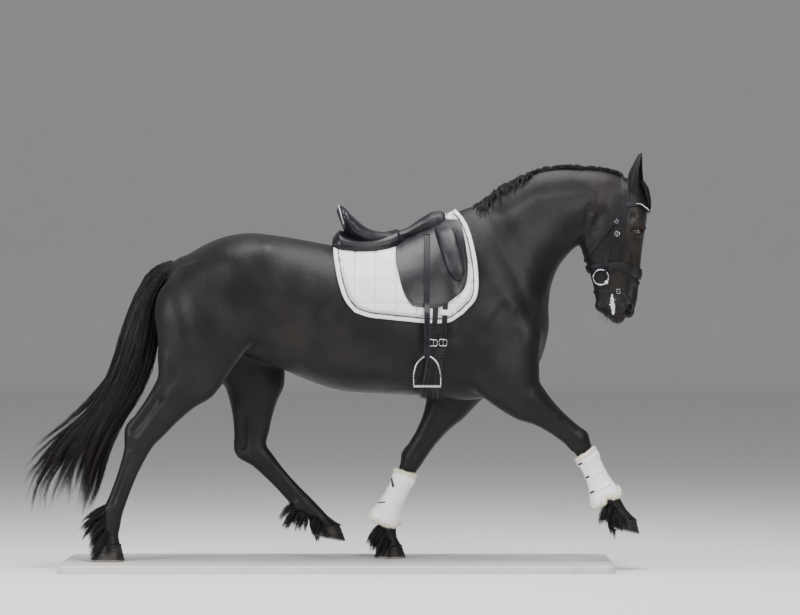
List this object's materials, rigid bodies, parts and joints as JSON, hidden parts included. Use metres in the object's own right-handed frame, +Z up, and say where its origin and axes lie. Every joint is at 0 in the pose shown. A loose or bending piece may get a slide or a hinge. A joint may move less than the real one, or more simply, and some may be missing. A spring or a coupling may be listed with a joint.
{
  "type": "horse",
  "caption": "Black friesian horse in a trot, life size, with dressage saddle, pad, bridle and boots, on a flat base.",
  "frame": {"origin": "middle of the box round the whole, on the underside of the base", "axes": "+X from tail to head, +Y to the left side of the horse, +Z up"},
  "size_m": [2.8308, 0.82, 1.8644],
  "materials": {
    "coat": "short, dense black coat with a soft gloss",
    "long_hair": "long wavy black hair",
    "hoof_horn": "dark horn, dusty towards the ground",
    "eye": "wet, near black brown",
    "saddle_leather": "black smooth leather, polished",
    "bridle_leather": "black bridle leather",
    "pad_cloth": "white quilted cotton",
    "boot_fleece": "white shell with cream fleece edges",
    "polished_steel": "polished stainless steel",
    "base_board": "pale matt painted board"
  },
  "bodies": {
    "root": {"eye_right": "eye", "eye_left": "eye", "head": "coat", "neck": "coat", "leg_front_left": "coat", "leg_front_right": "coat", "leg_hind_left": "coat", "leg_hind_right": "coat", "torso": "coat", "hoof_front_left": "hoof_horn", "hoof_front_right": "hoof_horn", "hoof_hind_left": "hoof_horn", "hoof_hind_right": "hoof_horn", "boot_front_left": "boot_fleece", "boot_front_right": "boot_fleece", "ear_right": "coat", "ear_left": "coat", "mane": "long_hair", "forelock": "long_hair", "tail": "long_hair", "saddle_pad": "pad_cloth", "girth": "saddle_leather", "saddle_seat": "saddle_leather", "saddle_flap_right": "saddle_leather", "saddle_panel_right": "saddle_leather", "knee_block_right": "saddle_leather", "billet_right": "saddle_leather", "saddle_flap_left": "saddle_leather", "saddle_panel_left": "saddle_leather", "knee_block_left": "saddle_leather", "billet_left": "saddle_leather", "stirrup_leather_right": "saddle_leather", "stirrup_iron_right": "polished_steel", "stirrup_leather_left": "saddle_leather", "stirrup_iron_left": "polished_steel", "noseband": "bridle_leather", "flash_strap": "bridle_leather", "browband": "bridle_leather", "headpiece": "bridle_leather", "throatlatch": "bridle_leather", "noseband_hanger_right": "bridle_leather", "bit_ring_right": "polished_steel", "cheekpiece_right": "bridle_leather", "bit_barrel_right": "polished_steel", "noseband_hanger_left": "bridle_leather", "bit_ring_left": "polished_steel", "cheekpiece_left": "bridle_leather", "bit_barrel_left": "polished_steel", "stand_base": "base_board"}
  },
  "joints": []
}
